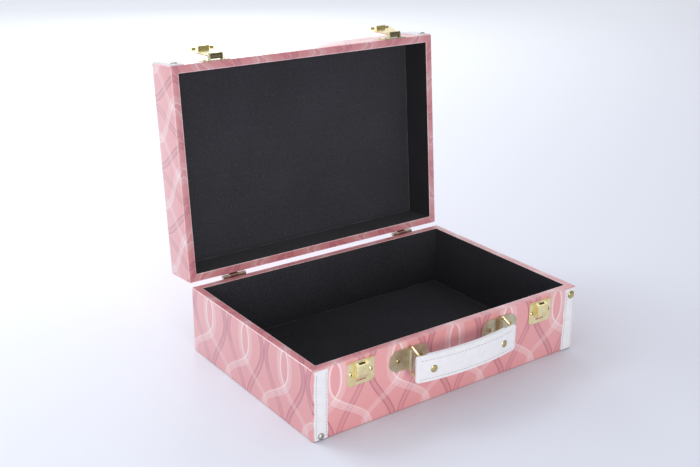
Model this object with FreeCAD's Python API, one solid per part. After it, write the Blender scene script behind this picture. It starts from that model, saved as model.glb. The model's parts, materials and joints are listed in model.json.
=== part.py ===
import FreeCAD, Part
import math
import os

# A suitcase-shaped jewelry box with its lid open: boards, paper, lining, latches, hinges and handle.
# Millimetres. X runs along the front, Y to the back, Z up; the origin is the middle of the underside.
# The lid and its latches are built shut, then turned open about their hinge lines.

V = FreeCAD.Vector
X_AXIS = V(1, 0, 0)
Z_AXIS = V(0, 0, 1)
OUTWARD = V(0, -1, 0)
BACKWARD = V(0, 1, 0)
SIDES = {"left": -1, "right": 1}

# Box
BOX_WIDTH = 300.0
BOX_DEPTH = 203.0
BASE_HEIGHT = 65.0
LID_HEIGHT = 37.5
WALL = 8.0
PAPER = 0.4
LINING = 0.6
FLOOR_BOARD = 3.5
LID_PANEL = 2.6
EDGE_ROUND = 1.0
RIM_GAP = 0.5
LID_OPEN_DEG = 95.0

# Corner strips and their rivets
STRIP_WIDTH = 14.0
STRIP_THICK = 1.2
STRIP_CORNER = 0.8
STRIP_FOOT_GAP = 0.4
STRIP_RIVET_R = 3.2
STRIP_RIVET_RISE = 1.6
STRIP_RIVET_INSET = 7.0
STRIP_RIVET_GRIP = 4.0
STRIP_FOOT_RIVET_Z = 4.4
RIVET_STEM_R = 1.4

# Latches: catch plate on the base, ears and hasp on the lid
LATCH_INSET = 47.0
SHEET = 0.8
CATCH_WIDTH = 27.5
CATCH_DROP = 3.0
CATCH_HEIGHT = 22.0
CATCH_CORNER = 3.5
CATCH_LIP = 1.6
CATCH_LIP_GAP = 0.9
CATCH_LIP_ROUND = 0.7
CATCH_WINDOW_WIDTH = 10.0
CATCH_WINDOW_SILL = 3.4
CATCH_SCREW_INSET = 3.4
CATCH_SCREW_RISE = 11.2
HOUSING_WIDTH = 12.4
HOUSING_OUT = 4.6
HOUSING_DROP = 1.4
HOUSING_SLOPE = 2.2
HOUSING_LIP_RISE = 6.6
HOUSING_ROUND = 1.2
HOUSING_TUCK = 0.8
HOUSING_TUCK_RISE = 3.0
HOUSING_SLOT_WIDTH = 6.4
HOUSING_SLOT_OUT = 1.3
HOUSING_SLOT_DEPTH = 1.9
LATCH_PLATE_HEIGHT = 12.0
LATCH_PLATE_RISE = 0.4
LATCH_PLATE_CORNER = 3.0
LATCH_SCREW_INSET = 3.6
LATCH_SCREW_RISE = 6.4
EAR_SPAN = 14.0
EAR_THICK = 1.0
EAR_ROUND = 2.2
PIVOT_OUT = 5.2
PIVOT_RISE = 2.7
PIN_R = 1.0
HASP_WIDTH = 26.0
HASP_SHOULDER_WIDTH = 18.7
HASP_NECK_DROP = 3.2
HASP_SHOULDER_DROP = 9.0
HASP_FLARE_DROP = 15.0
HASP_CORNER = 1.5
HASP_ROLL_R = 1.8
HASP_ROLL_OUT = 3.6
HASP_ROLL_CORNER = 1.5
HASP_HOOK = 3.0
HASP_HOOK_WIDTH = 11.5
HASP_END_DROP = 2.0
HASP_LIP = 1.2
HASP_LIP_GAP = 1.5
HASP_OPEN_DEG = 167.0

# Handle: plates on the base, wire loops and a stitched strap
HANDLE_DROP = 16.2
HANDLE_PLATE_LENGTH = 43.0
HANDLE_PLATE_HEIGHT = 20.0
HANDLE_SCREW_REACH = 12.5
RIB_WIDTH = 5.6
RIB_AXIS_OUT = 3.0
RIB_SHOULDER = 0.6
WIRE_R = 1.0
LOOP_REACH = 13.5
LOOP_HEIGHT = 24.4
LOOP_SAG = 2.7
LOOP_INSET = 4.5
HANDLE_SWING_DEG = -11.0
LOOP_BEND = 1.8
STRAP_LENGTH = 113.0
STRAP_HEIGHT = 24.7
STRAP_BOW = 5.4
STRAP_LAYER = 2.4
STRAP_CORNER = 2.5
STRAP_SEAM_GAP = 0.7
BACK_LAYER_SETBACK = 6.0
BACK_LAYER_CORNER = 2.0
TONGUE_INSET = 1.5
TONGUE_CORNER = 1.0
FOLD_WALL = 1.6
STRAP_RIVET_X = 40.0
STRAP_RIVET_DROP = 1.0
STRAP_RIVET_R = 2.9
STRAP_RIVET_RISE = 1.0
STRAP_RIVET_SEAT = 0.05
STRAP_BURR_R = 2.3
STRAP_BURR_THICK = 0.6

# Hinges at the back
HINGE_INSET = 47.0
HINGE_WIDTH = 25.0
HINGE_AXIS_OUT = 2.6
KNUCKLE_R = 2.0
KNUCKLE_MIDDLE = 9.0
KNUCKLE_GAP = 0.2
KNUCKLE_ROOT = 1.0
KNUCKLE_ROOT_LAP = 0.6
HINGE_PIN_R = 1.0
LEAF_REACH = 13.0
LEAF_CORNER = 1.5
HINGE_SCREW_SPREAD = 7.5
HINGE_SCREW_REACH = 8.0

# Fasteners and fits
SCREW_HEAD_R = 2.2
SCREW_HEAD_HEIGHT = 1.0
SCREW_R = 1.2
SCREW_LENGTH = 5.0
HEAD_SIDES = 8
SHANK_SIDES = 6
WIRE_SIDES = 12
BEND_STEPS = 3
RUNNING_FIT = 0.06
SIDE_CLEAR = 0.2
CLEAR = 0.3
OVERCUT = 1.0

# Derived places
FRONT_Y = -BOX_DEPTH / 2
BACK_Y = BOX_DEPTH / 2
BOARD = WALL - PAPER - LINING
INNER_HALF_WIDTH = BOX_WIDTH / 2 - PAPER - BOARD
INNER_HALF_DEPTH = BOX_DEPTH / 2 - PAPER - BOARD
LID_RIM_Z = BASE_HEIGHT + RIM_GAP
LID_TOP_Z = LID_RIM_Z + LID_HEIGHT
HINGE_POINT = V(0, BACK_Y + HINGE_AXIS_OUT, BASE_HEIGHT + RIM_GAP / 2)
LATCH_X = BOX_WIDTH / 2 - LATCH_INSET
HINGE_X = BOX_WIDTH / 2 - HINGE_INSET
PIVOT_Z = LID_RIM_Z + PIVOT_RISE
CATCH_TOP_Z = BASE_HEIGHT - CATCH_DROP
CATCH_LOW_Z = CATCH_TOP_Z - CATCH_HEIGHT
HOUSING_LIP_Z = CATCH_LOW_Z + HOUSING_LIP_RISE
HOUSING_TOP_Z = CATCH_TOP_Z - HOUSING_DROP
HANDLE_X = STRAP_LENGTH / 2 - LOOP_INSET
HANDLE_Z = BASE_HEIGHT - HANDLE_DROP
LEG_OUT = RIB_AXIS_OUT + LOOP_REACH
STRAP_Z = HANDLE_Z - LOOP_SAG


# General shapes

def block(x, y, z):
    """Box from three (low, high) pairs."""
    return Part.makeBox(x[1] - x[0], y[1] - y[0], z[1] - z[0], V(x[0], y[0], z[0]))


def front_block(x, out, z):
    """Box on the front face, from x, distance out of the face and z."""
    return block(x, (FRONT_Y - out[1], FRONT_Y - out[0]), z)


def back_block(x, out, z):
    """Box on the back face, from x, distance out of the face and z."""
    return block(x, (BACK_Y + out[0], BACK_Y + out[1]), z)


def rod(radius, start, end):
    """Round bar between two points."""
    along = end - start
    return Part.makeCylinder(radius, along.Length, start, along)


def edges_along(shape, direction):
    """Straight edges of a shape that run along a direction."""
    straight = [edge for edge in shape.Edges if edge.Curve.TypeId == "Part::GeomLine"]
    return [edge for edge in straight if abs(edge.Curve.Direction.dot(direction)) > 0.999]


def near(edges, coordinate, value):
    """Those of the edges whose middle has one coordinate (0, 1 or 2) at a value."""
    return [edge for edge in edges if abs(edge.CenterOfMass[coordinate] - value) < 1e-4]


def prism(points, along):
    """Solid swept from a closed polygon."""
    return Part.Face(Part.makePolygon(points + points[:1])).extrude(along)


def aim(shape, point, direction):
    """Shape moved so that its own +Z points along a direction from a point."""
    moved = shape.copy()
    moved.Placement = FreeCAD.Placement(point, FreeCAD.Rotation(Z_AXIS, direction))
    return moved


def polygon(sides, radius, z):
    """Corners of a regular polygon about the Z axis."""
    turn = 2 * math.pi / sides
    return [V(radius * math.cos(i * turn), radius * math.sin(i * turn), z) for i in range(sides)]


def thin_bar(radius, start, end):
    """Pin, bore or sleeve between two points, with as few sides as the wire."""
    along = end - start
    return aim(prism(polygon(WIRE_SIDES, radius, 0), Z_AXIS * along.Length), start, along)


def dome(radius, height):
    """Rounded head on the XY plane, with few sides."""
    shares = ((1, 0), (math.cos(math.pi / 6), 0.5), (0.5, 1))
    rings = [polygon(HEAD_SIDES, radius * out, height * up) for out, up in shares]
    return Part.makeLoft([Part.makePolygon(ring + ring[:1]) for ring in rings], True, True)


def shank(radius, length):
    """Hidden stem under a head, with few sides."""
    return prism(polygon(SHANK_SIDES, radius, -length), V(0, 0, length))


def screw(point, direction):
    """Small round-head wood screw; the point is under its head."""
    head = dome(SCREW_HEAD_R, SCREW_HEAD_HEIGHT)
    return aim(head.fuse(shank(SCREW_R, SCREW_LENGTH)), point, direction)


def plate_screw(x, z):
    """Screw through a plate of sheet metal on the front face."""
    return screw(V(x, FRONT_Y - SHEET, z), OUTWARD)


def rivet(radius, rise, length, point, direction):
    """Domed rivet with a plain stem of the stated length under its head."""
    return aim(dome(radius, rise).fuse(shank(RIVET_STEM_R, length)), point, direction)


def open_lid(shape):
    """Shape built shut, turned open with the lid."""
    turned = shape.copy()
    turned.rotate(HINGE_POINT, X_AXIS, -LID_OPEN_DEG)
    return turned


# Boards, paper and lining

def tray_block(inset, z):
    """Block as large as the box, less an inset all round, with rounded upright edges."""
    half_x = BOX_WIDTH / 2 - inset
    half_y = BOX_DEPTH / 2 - inset
    shape = block((-half_x, half_x), (-half_y, half_y), z)
    return shape.makeFillet(EDGE_ROUND - inset, edges_along(shape, Z_AXIS))


def tray_boards(core, z):
    """Four wall boards, butted so that front and back run the full width."""
    half_x = BOX_WIDTH / 2
    half_y = BOX_DEPTH / 2
    inner_y = (-INNER_HALF_DEPTH, INNER_HALF_DEPTH)
    return {
        "front_board": core.common(block((-half_x, half_x), (-half_y, -INNER_HALF_DEPTH), z)),
        "back_board": core.common(block((-half_x, half_x), (INNER_HALF_DEPTH, half_y), z)),
        "left_board": core.common(block((-half_x, -INNER_HALF_WIDTH), inner_y, z)),
        "right_board": core.common(block((INNER_HALF_WIDTH, half_x), inner_y, z)),
    }


def well(inset, z):
    """Block that fills the hollow between the walls, smaller by an inset all round."""
    half_x = INNER_HALF_WIDTH - inset
    half_y = INNER_HALF_DEPTH - inset
    return block((-half_x, half_x), (-half_y, half_y), z)


def base_tray():
    """Boards, paper and lining of the base."""
    top = BASE_HEIGHT - PAPER
    floor = PAPER + FLOOR_BOARD
    sheet_x = BOX_WIDTH / 2 - EDGE_ROUND
    sheet_y = BOX_DEPTH / 2 - EDGE_ROUND
    core = tray_block(PAPER, (PAPER, top))
    skin = tray_block(0, (PAPER, BASE_HEIGHT))
    pieces = tray_boards(core, (PAPER, top))
    pieces["bottom_board"] = well(0, (PAPER, floor))
    pieces["paper_wrap"] = skin.cut([core, well(0, (PAPER, BASE_HEIGHT + OVERCUT))])
    pieces["underside_sheet"] = block((-sheet_x, sheet_x), (-sheet_y, sheet_y), (0, PAPER))
    pieces["floor_lining"] = well(0, (floor, floor + LINING))
    lining_z = (floor + LINING, top)
    pieces["wall_lining"] = well(0, lining_z).cut(well(LINING, lining_z))
    return pieces


def lid_tray():
    """Boards, paper and lining of the lid, shut."""
    low = LID_RIM_Z + PAPER
    high = LID_TOP_Z - PAPER
    panel = high - LID_PANEL
    core = tray_block(PAPER, (low, high))
    skin = tray_block(0, (LID_RIM_Z, LID_TOP_Z))
    pieces = tray_boards(core, (low, high))
    pieces["top_board"] = core.common(well(0, (panel, high)))
    pieces["paper_wrap"] = skin.cut([core, well(0, (LID_RIM_Z - OVERCUT, panel))])
    pieces["panel_lining"] = well(0, (panel - LINING, panel))
    lining_z = (low, panel - LINING)
    pieces["wall_lining"] = well(0, lining_z).cut(well(LINING, lining_z))
    return pieces


# Leather corner strips

def corner_strip(side, z):
    """Flat strip at one end of the front face."""
    outer = side * (BOX_WIDTH / 2 - EDGE_ROUND)
    inner = side * (BOX_WIDTH / 2 - STRIP_WIDTH)
    x = (min(outer, inner), max(outer, inner))
    strip = front_block(x, (0, STRIP_THICK), z)
    return strip.makeChamfer(STRIP_CORNER, edges_along(strip, OUTWARD))


def strip_rivet(side, z):
    """Rivet in the middle of a strip's width."""
    point = V(side * (BOX_WIDTH - STRIP_WIDTH) / 2, FRONT_Y - STRIP_THICK, z)
    return rivet(STRIP_RIVET_R, STRIP_RIVET_RISE, STRIP_THICK + STRIP_RIVET_GRIP, point, OUTWARD)


# Latches

def catch_plate(x):
    """Stamped plate on the base, with a housing open at its foot for the hasp's hook."""
    half = CATCH_WIDTH / 2
    plate = front_block((x - half, x + half), (0, SHEET), (CATCH_LOW_Z, CATCH_TOP_Z))
    plate = plate.makeFillet(CATCH_CORNER, near(edges_along(plate, OUTWARD), 2, CATCH_LOW_Z))
    window_x = (x - CATCH_WINDOW_WIDTH / 2, x + CATCH_WINDOW_WIDTH / 2)
    window_z = (CATCH_LOW_Z + CATCH_WINDOW_SILL, HOUSING_TOP_Z - SHEET)
    plate = plate.cut(front_block(window_x, (0, SHEET), window_z))
    lips = []
    for hand in SIDES.values():
        ends = sorted((x + hand * (HOUSING_WIDTH / 2 + CATCH_LIP_GAP), x + hand * half))
        lip = front_block(ends, (0, CATCH_LIP), (CATCH_TOP_Z - CATCH_LIP, CATCH_TOP_Z))
        lip_edges = near(edges_along(lip, X_AXIS), 1, FRONT_Y - CATCH_LIP)
        lips.append(lip.makeFillet(CATCH_LIP_ROUND, lip_edges))
    return plate.fuse(lips + [housing_shell(x)]).removeSplitter()


def housing_shell(x):
    """Hollow drawn box with a sloping slotted top, rounded front and open foot."""
    solid = housing_prism(x, HOUSING_WIDTH, 0, 0)
    front_edges = near(edges_along(solid, Z_AXIS), 1, FRONT_Y - HOUSING_OUT)
    solid = solid.makeFillet(HOUSING_ROUND, front_edges)
    hollow = housing_prism(x, HOUSING_WIDTH - 2 * SHEET, SHEET, -SHEET)
    slot_x = (x - HOUSING_SLOT_WIDTH / 2, x + HOUSING_SLOT_WIDTH / 2)
    slot_out = (HOUSING_SLOT_OUT, HOUSING_SLOT_OUT + HOUSING_SLOT_DEPTH)
    slot = front_block(slot_x, slot_out, (HOUSING_TOP_Z - HOUSING_SLOPE - SHEET, HOUSING_TOP_Z))
    return solid.cut([hollow, slot])


def housing_prism(x, width, wall, drop):
    """Outline of the housing in side view, shrunk by a wall and let down at its foot."""
    points = [
        (0, HOUSING_TOP_Z - wall),
        (HOUSING_OUT - wall, HOUSING_TOP_Z - HOUSING_SLOPE - wall),
        (HOUSING_OUT - wall, HOUSING_LIP_Z + HOUSING_TUCK_RISE),
        (HOUSING_OUT - wall - HOUSING_TUCK, HOUSING_LIP_Z + drop),
        (0, HOUSING_LIP_Z + drop),
    ]
    outline = [V(x - width / 2, FRONT_Y - out, z) for out, z in points]
    return prism(outline, V(width, 0, 0))


def latch_plate(x):
    """Lid's flange with two ears that hold the hasp's pin."""
    half = CATCH_WIDTH / 2
    low = LID_RIM_Z + LATCH_PLATE_RISE
    high = low + LATCH_PLATE_HEIGHT
    plate = front_block((x - half, x + half), (0, SHEET), (low, high))
    plate = plate.makeFillet(LATCH_PLATE_CORNER, near(edges_along(plate, OUTWARD), 2, high))
    ears = []
    for hand in SIDES.values():
        outer = x + hand * EAR_SPAN / 2
        inner = outer - hand * EAR_THICK
        ear_x = (min(outer, inner), max(outer, inner))
        ears.append(front_block(ear_x, (0, PIVOT_OUT), (PIVOT_Z - EAR_ROUND, PIVOT_Z + EAR_ROUND)))
        ears.append(pivot_rod(ear_x, EAR_ROUND))
    bore = pivot_rod((x - EAR_SPAN, x + EAR_SPAN), PIN_R, thin_bar)
    return plate.fuse(ears).removeSplitter().cut(bore)


def pivot_rod(x, radius, make=rod):
    """Bar on the hasp's pivot line."""
    return make(radius, V(x[0], FRONT_Y - PIVOT_OUT, PIVOT_Z), V(x[1], FRONT_Y - PIVOT_OUT, PIVOT_Z))


def latch_pin(x):
    """Pin pressed through the ears and standing a little proud of them."""
    half = EAR_SPAN / 2 + CLEAR
    return pivot_rod((x - half, x + half), PIN_R, thin_bar)


def hasp(x):
    """Flared flap with a long rolled knuckle, a hook and two lips, built shut and turned open."""
    neck = EAR_SPAN / 2 - EAR_THICK - SIDE_CLEAR
    half = HASP_WIDTH / 2
    hook_z = HOUSING_LIP_Z - CLEAR - SHEET
    foot = hook_z - HASP_END_DROP
    outer = PIVOT_OUT + HASP_ROLL_R
    inner = outer - SHEET
    outline = [
        (-neck, PIVOT_Z),
        (-neck, PIVOT_Z - HASP_NECK_DROP),
        (-HASP_SHOULDER_WIDTH / 2, PIVOT_Z - HASP_SHOULDER_DROP),
        (-half, PIVOT_Z - HASP_FLARE_DROP),
        (-half, foot),
    ]
    points = outline + [(-a, z) for a, z in reversed(outline)]
    flap = prism([V(x + a, FRONT_Y - outer, z) for a, z in points], V(0, SHEET, 0))
    flap = flap.makeFillet(HASP_CORNER, near(edges_along(flap, OUTWARD), 2, foot))
    knuckle = pivot_rod((x - neck, x + neck), HASP_ROLL_R)
    roll_out = PIVOT_OUT + HASP_ROLL_OUT
    roll_z = (PIVOT_Z - HASP_ROLL_R, PIVOT_Z + HASP_ROLL_R)
    roll = front_block((x - neck, x + neck), (PIVOT_OUT, roll_out), roll_z)
    roll = roll.makeFillet(HASP_ROLL_CORNER, near(edges_along(roll, X_AXIS), 1, FRONT_Y - roll_out))
    hook_half = HASP_HOOK_WIDTH / 2
    hook = front_block((x - hook_half, x + hook_half), (inner - HASP_HOOK, outer), (hook_z, hook_z + SHEET))
    lips = []
    for hand in SIDES.values():
        ends = sorted((x + hand * (hook_half + HASP_LIP_GAP), x + hand * (half - HASP_CORNER)))
        lips.append(front_block(ends, (inner - HASP_LIP, outer), (foot, foot + SHEET)))
    bore = pivot_rod((x - half, x + half), PIN_R + RUNNING_FIT, thin_bar)
    shut = flap.fuse([knuckle, roll, hook] + lips).removeSplitter().cut(bore)
    shut.rotate(V(x, FRONT_Y - PIVOT_OUT, PIVOT_Z), X_AXIS, -HASP_OPEN_DEG)
    return shut


# Handle

def handle_plate(x):
    """Round-ended plate with an upright rib bored for the wire loop."""
    half = HANDLE_PLATE_LENGTH / 2
    end = HANDLE_PLATE_HEIGHT / 2
    low = HANDLE_Z - end
    high = HANDLE_Z + end
    plate = front_block((x - half + end, x + half - end), (0, SHEET), (low, high))
    ends = []
    for hand in SIDES.values():
        middle = x + hand * (half - end)
        ends.append(rod(end, V(middle, FRONT_Y, HANDLE_Z), V(middle, FRONT_Y - SHEET, HANDLE_Z)))
    rib_z = (low + RIB_SHOULDER, high - RIB_SHOULDER)
    rib_low = V(x, FRONT_Y - RIB_AXIS_OUT, rib_z[0])
    rib_high = V(x, FRONT_Y - RIB_AXIS_OUT, rib_z[1])
    foot = front_block((x - RIB_WIDTH / 2, x + RIB_WIDTH / 2), (0, RIB_AXIS_OUT), rib_z)
    crown = rod(RIB_WIDTH / 2, rib_low, rib_high)
    bore = thin_bar(WIRE_R + RUNNING_FIT, rib_low, rib_high)
    return plate.fuse(ends + [foot, crown]).removeSplitter().cut(bore)


def bent_path(corners, radius):
    """Closed path through corner points, each bend turned in a few short steps."""
    count = len(corners)
    points = [(corners[0] + corners[-1]) / 2]
    for i, corner in enumerate(corners):
        before = (corners[i - 1] - corner).normalize()
        after = (corners[(i + 1) % count] - corner).normalize()
        angle = before.getAngle(after)
        setback = radius / math.tan(angle / 2)
        bisector = (before + after).normalize()
        centre = corner + bisector * (radius / math.sin(angle / 2))
        arc = Part.Arc(corner + before * setback, centre - bisector * radius, corner + after * setback)
        points.extend(arc.toShape().discretize(BEND_STEPS + 1))
    return Part.makePolygon(points + points[:1])


def wire_loop(x):
    """Wire loop, swung aside: one leg in the plate's rib, the other, a little lower, in the strap."""
    near_y = FRONT_Y - RIB_AXIS_OUT
    far_y = near_y - LOOP_REACH
    rise = LOOP_HEIGHT / 2
    corners = [
        V(x, near_y, HANDLE_Z + rise),
        V(x, far_y, STRAP_Z + rise),
        V(x, far_y, STRAP_Z - rise),
        V(x, near_y, HANDLE_Z - rise),
    ]
    path = bent_path(corners, LOOP_BEND)
    section = [V(x, near_y, HANDLE_Z) + point for point in polygon(WIRE_SIDES, WIRE_R, 0)]
    mitred = 1
    loop = path.makePipeShell([Part.makePolygon(section + section[:1])], True, True, mitred)
    loop.rotate(V(x, near_y, HANDLE_Z), Z_AXIS, HANDLE_SWING_DEG)
    return loop


def swung_strap(shape):
    """Piece of the strap, built with the handle straight out, carried along by the loops' swing."""
    turn = math.radians(HANDLE_SWING_DEG)
    shape.translate(V(LOOP_REACH * math.sin(turn), LOOP_REACH * (1 - math.cos(turn)), 0))
    return shape


def strap_seam_radius():
    """Radius, in plan, of the seam between the strap's two layers."""
    return (HANDLE_X ** 2 + STRAP_BOW ** 2) / (2 * STRAP_BOW)


def strap_centre():
    """Middle of the seam's circle."""
    seam_out = LEG_OUT + WIRE_R + STRAP_SEAM_GAP + STRAP_BOW
    return V(0, FRONT_Y - seam_out + strap_seam_radius(), 0)


def strap_ring(inner, outer):
    """Upright ring about the seam's middle, taller than the strap."""
    centre = strap_centre()
    low = STRAP_Z - STRAP_HEIGHT
    base = V(centre.x, centre.y, low)
    whole = Part.makeCylinder(outer, 2 * STRAP_HEIGHT, base)
    return whole.cut(Part.makeCylinder(inner, 2 * STRAP_HEIGHT, base))


def strap_outline(half_length, height, corner):
    """Prism with the strap's outline in front view, its corners cut off."""
    half_height = height / 2
    x = (-half_length, half_length)
    solid = front_block(x, (0, 2 * LEG_OUT), (STRAP_Z - half_height, STRAP_Z + half_height))
    return solid.makeChamfer(corner, edges_along(solid, OUTWARD))


def handle_front_leather():
    """Full outer layer of the strap."""
    radius = strap_seam_radius()
    outline = strap_outline(STRAP_LENGTH / 2, STRAP_HEIGHT, STRAP_CORNER)
    return strap_ring(radius, radius + STRAP_LAYER).common(outline)


def handle_back_leather():
    """Inner layer, cut back at both ends where it folds round the loops' legs."""
    radius = strap_seam_radius()
    tightest = math.atan2(LOOP_REACH, LOOP_SAG)
    fold_height = LOOP_HEIGHT - 2 * (LOOP_BEND / math.tan(tightest / 2) + CLEAR)
    half_length = STRAP_LENGTH / 2 - TONGUE_INSET
    half_middle = HANDLE_X - BACK_LAYER_SETBACK
    ring = strap_ring(radius - STRAP_LAYER, radius)
    middle = ring.common(strap_outline(half_middle, STRAP_HEIGHT, BACK_LAYER_CORNER))
    tongue = ring.common(strap_outline(half_length, fold_height, TONGUE_CORNER))
    folds = []
    bores = []
    for side in SIDES.values():
        leg = V(side * HANDLE_X, FRONT_Y - LEG_OUT, STRAP_Z)
        reach = V(0, 0, fold_height / 2)
        folds.append(thin_bar(WIRE_R + FOLD_WALL, leg - reach, leg + reach))
        bores.append(thin_bar(WIRE_R + RUNNING_FIT, leg - reach, leg + reach))
    seam_foot = strap_centre() - V(0, 0, STRAP_HEIGHT)
    fold_limit = Part.makeCylinder(radius, STRAP_Z + 2 * STRAP_HEIGHT, seam_foot)
    folds = [fold.common(fold_limit) for fold in folds]
    return middle.fuse([tongue] + folds).removeSplitter().cut(bores)


def handle_rivet(side):
    """Rivet through both layers, square to the curved strap."""
    radius = strap_seam_radius() + STRAP_LAYER
    tilt = math.asin(STRAP_RIVET_X / radius)
    outward = V(side * math.sin(tilt), -math.cos(tilt), 0)
    centre = strap_centre()
    point = V(centre.x, centre.y, STRAP_Z - STRAP_RIVET_DROP) + outward * (radius - STRAP_RIVET_SEAT)
    length = 2 * STRAP_LAYER + STRAP_BURR_THICK
    head = rivet(STRAP_RIVET_R, STRAP_RIVET_RISE, length, point, outward)
    burr = prism(polygon(HEAD_SIDES, STRAP_BURR_R, -length), V(0, 0, STRAP_BURR_THICK))
    return head.fuse(aim(burr, point, outward))


# Hinges

def hinge_rod(x, radius, make=rod):
    """Bar on the lid's hinge line."""
    ends = [V(end, HINGE_POINT.y, HINGE_POINT.z) for end in x]
    return make(radius, ends[0], ends[1])


def hinge_part(x, upward, spans, bore_r):
    """One leaf with its knuckles; upward is 1 for the lid's leaf and -1 for the base's."""
    half = HINGE_WIDTH / 2
    axis_z = HINGE_POINT.z
    near_z = axis_z + upward * (KNUCKLE_R + CLEAR)
    far_z = axis_z + upward * LEAF_REACH
    leaf = back_block((x - half, x + half), (0, SHEET), sorted((near_z, far_z)))
    leaf = leaf.makeChamfer(LEAF_CORNER, near(edges_along(leaf, OUTWARD), 2, far_z))
    knuckles = []
    root_z = sorted((axis_z + upward * KNUCKLE_ROOT, near_z + upward * KNUCKLE_ROOT_LAP))
    for first, last in spans:
        span = (x + first + KNUCKLE_GAP / 2, x + last - KNUCKLE_GAP / 2)
        knuckles.append(hinge_rod(span, KNUCKLE_R))
        knuckles.append(back_block(span, (0, HINGE_AXIS_OUT - KNUCKLE_ROOT), root_z))
    return leaf.fuse(knuckles).removeSplitter().cut(hinge_rod((x - half, x + half), bore_r, thin_bar))


def hinge_base_leaf(x):
    """Lower leaf with its two outer knuckles, which grip the pin."""
    half = HINGE_WIDTH / 2
    middle = KNUCKLE_MIDDLE / 2
    return hinge_part(x, -1, ((-half, -middle), (middle, half)), HINGE_PIN_R)


def hinge_lid_leaf(x):
    """Upper leaf with its middle knuckle, which turns on the pin."""
    middle = KNUCKLE_MIDDLE / 2
    return hinge_part(x, 1, ((-middle, middle),), HINGE_PIN_R + RUNNING_FIT)


def hinge_pin(x):
    """Pin through all knuckles."""
    return hinge_rod((x - HINGE_WIDTH / 2, x + HINGE_WIDTH / 2), HINGE_PIN_R, thin_bar)


def hinge_screw(x, upward):
    """Screw through one leaf into the back board."""
    point = V(x, BACK_Y + SHEET, HINGE_POINT.z + upward * HINGE_SCREW_REACH)
    return screw(point, BACKWARD)


# Assembly

def base_nodes():
    """Every node that stays with the base."""
    nodes = {"base_" + name: shape for name, shape in base_tray().items()}
    catch_screws = []
    handle_screws = []
    hinge_screws = []
    rivets = []
    pins = []
    strip_z = (PAPER + STRIP_FOOT_GAP, BASE_HEIGHT - EDGE_ROUND)
    rivet_heights = {"left": STRIP_FOOT_RIVET_Z, "right": BASE_HEIGHT - STRIP_RIVET_INSET}
    for name, side in SIDES.items():
        nodes["base_corner_strip_" + name] = corner_strip(side, strip_z)
        rivets.append(strip_rivet(side, rivet_heights[name]))
        latch_x = side * LATCH_X
        nodes["catch_plate_" + name] = catch_plate(latch_x)
        nodes["handle_plate_" + name] = handle_plate(side * HANDLE_X)
        hinge_x = side * HINGE_X
        nodes["hinge_base_leaf_" + name] = hinge_base_leaf(hinge_x)
        pins.append(hinge_pin(hinge_x))
        for hand in SIDES.values():
            catch_screw_x = latch_x + hand * (CATCH_WIDTH / 2 - CATCH_SCREW_INSET)
            catch_screws.append(plate_screw(catch_screw_x, CATCH_LOW_Z + CATCH_SCREW_RISE))
            handle_screws.append(plate_screw(side * HANDLE_X + hand * HANDLE_SCREW_REACH, HANDLE_Z))
            hinge_screws.append(hinge_screw(hinge_x + hand * HINGE_SCREW_SPREAD, -1))
    nodes["base_strip_rivets"] = Part.makeCompound(rivets)
    nodes["catch_screws"] = Part.makeCompound(catch_screws)
    nodes["handle_plate_screws"] = Part.makeCompound(handle_screws)
    nodes["hinge_base_screws"] = Part.makeCompound(hinge_screws)
    nodes["hinge_pins"] = Part.makeCompound(pins)
    return seat_fasteners(nodes, rivets + catch_screws + handle_screws + hinge_screws)


def lid_nodes():
    """Every node that turns with the lid, shut."""
    nodes = {"lid_" + name: shape for name, shape in lid_tray().items()}
    latch_screws = []
    hinge_screws = []
    rivets = []
    pins = []
    strip_z = (LID_RIM_Z + EDGE_ROUND, LID_TOP_Z - EDGE_ROUND)
    for name, side in SIDES.items():
        nodes["lid_corner_strip_" + name] = corner_strip(side, strip_z)
        rivets.append(strip_rivet(side, LID_RIM_Z + STRIP_RIVET_INSET))
        latch_x = side * LATCH_X
        nodes["latch_plate_" + name] = latch_plate(latch_x)
        pins.append(latch_pin(latch_x))
        hinge_x = side * HINGE_X
        nodes["hinge_lid_leaf_" + name] = hinge_lid_leaf(hinge_x)
        for hand in SIDES.values():
            latch_screw_x = latch_x + hand * (CATCH_WIDTH / 2 - LATCH_SCREW_INSET)
            latch_screws.append(plate_screw(latch_screw_x, LID_RIM_Z + LATCH_SCREW_RISE))
            hinge_screws.append(hinge_screw(hinge_x + hand * HINGE_SCREW_SPREAD, 1))
    nodes["lid_strip_rivets"] = Part.makeCompound(rivets)
    nodes["latch_screws"] = Part.makeCompound(latch_screws)
    nodes["latch_pins"] = Part.makeCompound(pins)
    nodes["hinge_lid_screws"] = Part.makeCompound(hinge_screws)
    return seat_fasteners(nodes, rivets + latch_screws + hinge_screws)


def seat_fasteners(nodes, fasteners):
    """Holes for the fasteners in every plate, strip, sheet and board that they pass through."""
    own = ("rivets", "screws", "pins")
    for name, shape in nodes.items():
        if name.endswith(own):
            continue
        through = [item for item in fasteners if item.BoundBox.intersect(shape.BoundBox)]
        if through:
            nodes[name] = shape.cut(through).removeSplitter()
    return nodes


def handle_nodes():
    """Wire loops, strap layers and strap rivets."""
    rivets = [handle_rivet(side) for side in SIDES.values()]
    return {
        "handle_loop_left": wire_loop(-HANDLE_X),
        "handle_loop_right": wire_loop(HANDLE_X),
        "handle_front_leather": swung_strap(handle_front_leather().cut(rivets)),
        "handle_back_leather": swung_strap(handle_back_leather().cut(rivets)),
        "handle_rivets": swung_strap(Part.makeCompound(rivets)),
    }


def all_nodes():
    """Every node in the photographed pose."""
    nodes = base_nodes()
    nodes.update(handle_nodes())
    turning = lid_nodes()
    for name, side in SIDES.items():
        turning["hasp_" + name] = hasp(side * LATCH_X)
    for name, shape in turning.items():
        nodes[name] = open_lid(shape)
    return nodes


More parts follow.
